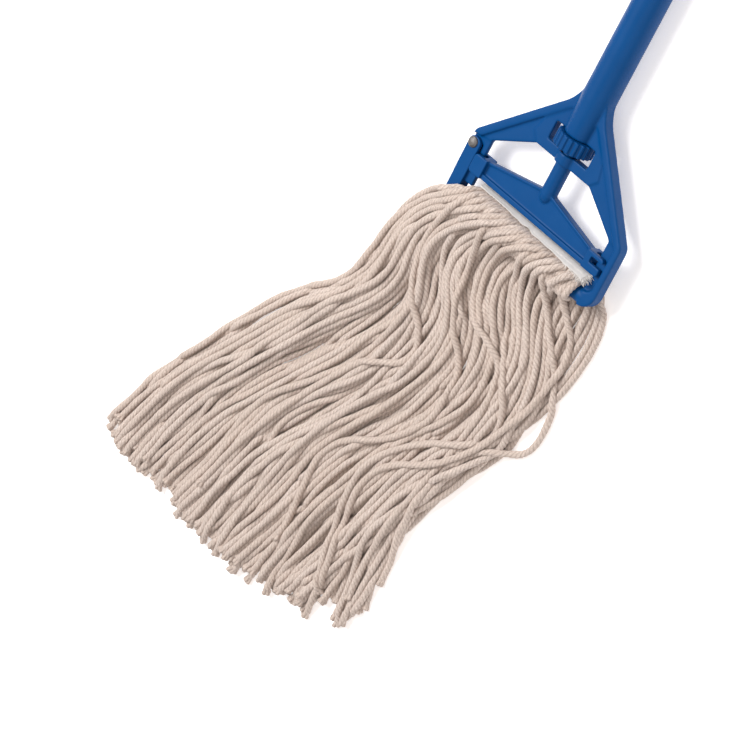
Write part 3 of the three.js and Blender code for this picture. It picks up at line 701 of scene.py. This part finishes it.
def yarn_piece(name, strands, material, *stands_for):
    """One object of the given strands: each is its rings, lengths, cut plies, fibres and tint."""
    tubes = Tubes()
    for rings, along, plies, fibres, tint in strands:
        tubes.add(rings, along, tint)
        tubes.add(*plies, tint - 0.5)
        tubes.add(*fibres, tint - 0.2)
    piece = add_object(name, tubes.mesh(name), material)
    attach(piece, "frame")
    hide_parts(*stands_for)
    return piece


def finished_strands(rng, lines, layer):
    """Resamples settled lines finely and returns the parts of every strand, ready for yarn_piece."""
    count = int(lengths_along(lines)[:, -1].mean() / RING_STEP[layer])
    fine = np.stack([curve_through(line, count) for line in lines])
    rings, along, cut = spun_strands(rng, fine, SIDES[layer])
    starts, ahead, length = cut_plies(rng, cut)
    tints = rng.random(len(lines))
    strands = []
    for k in range(len(lines)):
        plies, fibres = frayed_end(rng, starts[k], ahead[k], length[k])
        strands.append((rings[k:k + 1], along[k:k + 1], plies, fibres, tints[k]))
    return fine, strands


def make_yarn():
    rng = np.random.default_rng(7)
    upper = yarn_half(rng, UPPER_GUIDES, True)
    lower = yarn_half(rng, LOWER_GUIDES, False)
    level = np.concatenate([rng.random(STRANDS) * 2 + 2, rng.random(STRANDS) * 2])
    level[list(PLACED_ROUTES)] = PLACED_LEVEL
    lines = settle(np.concatenate([upper, lower]), level, SETTLE_ROUNDS)
    material = cotton()
    fine, strands = finished_strands(rng, lines[:STRANDS], "upper")
    from_top = np.argsort(-fine[..., 2].mean(1))
    for k in from_top[:CORDS]:
        piece = yarn_piece(f"strand_{k:02d}", [strands[k]], material, "yarn_front", "yarn_fold")
    rest = [strands[k] for k in sorted(from_top[CORDS:])]
    half = len(rest) // 2
    yarn_piece("yarn_front_1", rest[:half], material, "yarn_front", "yarn_fold")
    yarn_piece("yarn_front_2", rest[half:], material, "yarn_front", "yarn_fold")
    _, strands = finished_strands(rng, lines[STRANDS:], "lower")
    for number in range(3):
        some = strands[number * STRANDS // 3:(number + 1) * STRANDS // 3]
        yarn_piece(f"yarn_back_{number + 1}", some, material, "yarn_back")


# ---- the headband: two tapes, their stitches and their frayed end ----
TAPE_REACH, TAPE_HEIGHT = 22.0, 20.5
TAPE_THICK = 0.7
TAPE_LEFT, TAPE_RIGHT = FOLD_LEFT - 4.0, FOLD_RIGHT + 6.0
INNER_RIGHT = FOLD_RIGHT - 2.0
INNER_RADIUS = 9.6
STITCH, STITCH_GAP = 3.6, 1.0
THREAD_RADIUS = 0.33
FRAYED_THREADS = 150
FRAY_RADIUS, FRAY_LENGTH = 0.22, 26.0
THREAD_SIDES = 6
TAPE_OVER = math.radians(3)  # how far the tape goes on past where the strands come out
TAPE_LIFT, LIFT_FROM = 2.16, 0.75  # the tape's lower edges stand off the strands below them
STITCH_ROWS = (-0.42, 0.0, 0.42)
TIP_ANGLE = math.asin(10.5 / 1710)
HEAD = Matrix.Translation((0, 0, BAR_Z * MM)) @ Matrix.Rotation(-TIP_ANGLE, 4, "X")


def release_angle(x):
    """Where round the fold the strands come out from under the tape: later towards the right."""
    return RELEASE_LEFT + (RELEASE_RIGHT - RELEASE_LEFT) * (x - FOLD_LEFT) / (FOLD_RIGHT - FOLD_LEFT)


def on_tape(x, angle, out=0.0):
    """A point on the outer tape, or that far outside it."""
    pucker = 0.35 * np.sin(x / 1.9) + 0.25 * np.sin(x / 4.3 + 1.0)
    reach = out + pucker * np.abs(np.sin(angle))
    return np.stack(np.broadcast_arrays(
        x, (TAPE_REACH + reach) * np.cos(angle), BAR_Z + (TAPE_HEIGHT + reach) * np.sin(angle)), -1)


def closed_sheet(name, top, under, material):
    """A thin closed piece between two grids of points, with a weave UV map in metres."""
    rows, columns, _ = top.shape
    index = np.arange(rows * columns).reshape(rows, columns)
    a, b, c, d = index[:-1, :-1], index[1:, :-1], index[1:, 1:], index[:-1, 1:]
    upper = np.stack([a, b, c, d], -1).reshape(-1, 4)
    lower = np.stack([a, d, c, b], -1).reshape(-1, 4) + rows * columns
    rim = np.r_[index[:-1, 0], index[-1, :-1], index[:0:-1, -1], index[0, :0:-1]]
    ahead = np.roll(rim, -1)
    sides = np.stack([ahead, rim, rim + rows * columns, ahead + rows * columns], -1)
    points = np.concatenate([top.reshape(-1, 3), under.reshape(-1, 3)]) * MM
    mesh = bpy.data.meshes.new(name)
    faces = np.concatenate([upper, lower, sides])
    mesh.from_pydata(points.tolist(), [], faces.tolist())
    mesh.polygons.foreach_set("use_smooth", np.ones(len(mesh.polygons), bool))
    across = np.linalg.norm(np.diff(top, axis=1), axis=2).mean() * MM
    lengthwise = np.repeat(top[:, 0, 0] * MM, columns)
    weave = np.stack([lengthwise, np.tile(np.arange(columns) * across, rows)], 1)
    uv = np.tile(weave, (2, 1))[faces.ravel()]
    mesh.uv_layers.new(name="weave").data.foreach_set("uv", uv.ravel().astype(np.float32))
    return add_object(name, mesh, material)


def outer_tape(rng, material):
    x = np.linspace(TAPE_LEFT, TAPE_RIGHT, 190)
    wave = wander(rng, 2, 20, 0.028, len(x))
    edge = release_angle(x) + TAPE_OVER
    share = np.linspace(-1.0, 1.0, 41)
    sway = np.where(share > 0, wave[0][:, None], wave[1][:, None]) * share ** 2
    angle = edge[:, None] * share[None, :] + sway
    lift = TAPE_LIFT * np.clip(np.abs(share) - LIFT_FROM, 0, 1)[None, :]
    grid_x = np.broadcast_to(x[:, None], angle.shape)
    tape = closed_sheet("headband_outer_tape", on_tape(grid_x, angle, TAPE_THICK + lift),
                        on_tape(grid_x, angle, lift), material)
    flat_width = 2 * edge.mean() * (TAPE_REACH + TAPE_THICK)
    return tape, (TAPE_RIGHT - TAPE_LEFT, flat_width)


def inner_tape(material):
    x = np.linspace(TAPE_LEFT, INNER_RIGHT, 60)[:, None]
    angle = np.linspace(-math.pi / 2, math.pi / 2, 25)[None, :]
    outside, inside = [
        np.stack(np.broadcast_arrays(x, radius * np.cos(angle), BAR_Z + radius * np.sin(angle)), -1)
        for radius in (INNER_RADIUS + TAPE_THICK, INNER_RADIUS)]
    tape = closed_sheet("headband_inner_tape", outside, inside, material)
    return tape, (INNER_RIGHT - TAPE_LEFT, math.pi * INNER_RADIUS)


def thread_tubes(tubes, lines, radius):
    _, first, second = frames_along(lines)
    shape = (*lines.shape[:2], THREAD_SIDES)
    angle = np.broadcast_to(2 * math.pi * np.arange(THREAD_SIDES) / THREAD_SIDES, shape)
    rings = rings_around(lines, first, second, angle, np.full(shape, radius))
    tubes.add(rings, lengths_along(lines), 0.5)


def stitches(rng):
    """Rows of stitches along the tape, each dipping into it at its ends."""
    tubes = Tubes()
    starts = np.arange(TAPE_LEFT + 1.5, TAPE_RIGHT - STITCH - 1.0, STITCH + STITCH_GAP)
    share = np.linspace(0.0, 1.0, 7)
    for row in STITCH_ROWS:
        begin = starts + rng.uniform(-0.3, 0.3, len(starts))
        x = begin[:, None] + STITCH * share[None, :]
        slant = rng.normal(0, 0.018, (len(starts), 1)) * (share - 0.5)[None, :]
        dip = TAPE_THICK + 0.15 - 0.9 * (2 * np.abs(share - 0.5)) ** 4
        thread_tubes(tubes, on_tape(x, row + slant, dip[None, :]), THREAD_RADIUS)
    return tubes


def frayed_threads(rng):
    """Loose threads out of the tape's right end and along its lower edge near there."""
    tubes = Tubes()
    count = FRAYED_THREADS
    at_end = rng.random(count) < 0.6
    x = np.where(at_end, TAPE_RIGHT - 0.5, TAPE_RIGHT - FRAY_LENGTH * rng.random(count) ** 1.5)
    edge = release_angle(x) + TAPE_OVER
    angle = np.where(at_end, edge * rng.uniform(-1, 1, count), edge)
    root = on_tape(x, angle, 0.5 * TAPE_THICK)
    onward = np.stack([np.where(at_end, 1.0, 0.25), -0.7 * np.sin(angle), 0.5 * np.cos(angle) - 0.3], 1)
    onward += rng.normal(0, 0.38, (count, 3))
    onward /= np.linalg.norm(onward, axis=1, keepdims=True)
    reach = rng.uniform(2.5, 7.0, count)[:, None, None]
    share = np.linspace(0.0, 1.0, 6)[None, :, None]
    droop = np.array((0.0, -0.35, -0.5))
    lines = root[:, None] + reach * (share * onward[:, None] + share ** 2 * droop)
    lines += rng.normal(0, 0.12, lines.shape) * share
    thread_tubes(tubes, lines, FRAY_RADIUS)
    return tubes


def make_headband():
    rng = np.random.default_rng(11)
    woven, sewn = woven_tape(), sewing_thread()
    outer, outer_flat = outer_tape(rng, woven)
    inner, inner_flat = inner_tape(woven)
    seams = add_object("headband_stitches", stitches(rng).mesh("headband_stitches"), sewn)
    fray = add_object("headband_fray", frayed_threads(rng).mesh("headband_fray"), sewn)
    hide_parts("headband_outer")
    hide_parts("headband_inner")
    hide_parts("sewing_thread_1", "sewing_thread_2", "sewing_thread_3")
    for piece, name in ((outer, "tape"), (inner, "tape"), (seams, "sewing_thread"), (fray, "tape")):
        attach(piece, "frame")


# ---- the blue mouldings ----
MOULDED = {  # node: its body, the size of the cells it is rebuilt from and how often it is smoothed
    "yoke": ("frame", 0.95, 9),
    "side_gate": ("gate", 0.6, 5),
    "clamp_bar": ("clamp", 0.6, 8),
    "thumbwheel": ("wheel", 0.4, 3),
    "handle_cap": ("frame", 0.8, 3),
}


def rounded_moulding(node, body, cell, rounds, material):
    """A copy of a moulded piece with its edges and inside corners rounded over, as a mould leaves them."""
    source = NODES[node]
    mesh = source.data.copy()
    mesh.transform(HEAD.inverted() @ source.matrix_world)
    mesh.materials.clear()
    piece = add_object(node + "_moulding", mesh, material)
    piece.matrix_world = HEAD
    remesh = piece.modifiers.new("cells", "REMESH")
    remesh.mode = "VOXEL"
    remesh.voxel_size = cell * MM
    remesh.use_smooth_shade = True
    smooth = piece.modifiers.new("soften", "SMOOTH")
    smooth.factor = 0.5
    smooth.iterations = rounds
    evaluated = piece.evaluated_get(bpy.context.evaluated_depsgraph_get())
    rebuilt = bpy.data.meshes.new_from_object(evaluated)
    piece.modifiers.clear()
    piece.data = rebuilt
    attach(piece, body)
    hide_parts(node)


def make_mouldings():
    material = moulded_blue()
    for node, (body, cell, rounds) in MOULDED.items():
        rounded_moulding(node, body, cell, rounds, material)


def finish_metal_and_nylon():
    bright = steel()
    finishes = {"gate_rivet": bright, "rivet_washer": bright, "socket_screw": bright,
                "handle_tube": anodised(), "tube_plug": nylon()}
    for name, material in finishes.items():
        for slot in NODES[name].material_slots:
            slot.material = material


make_camera()
make_studio()
finish_metal_and_nylon()
make_mouldings()
make_headband()
make_yarn()
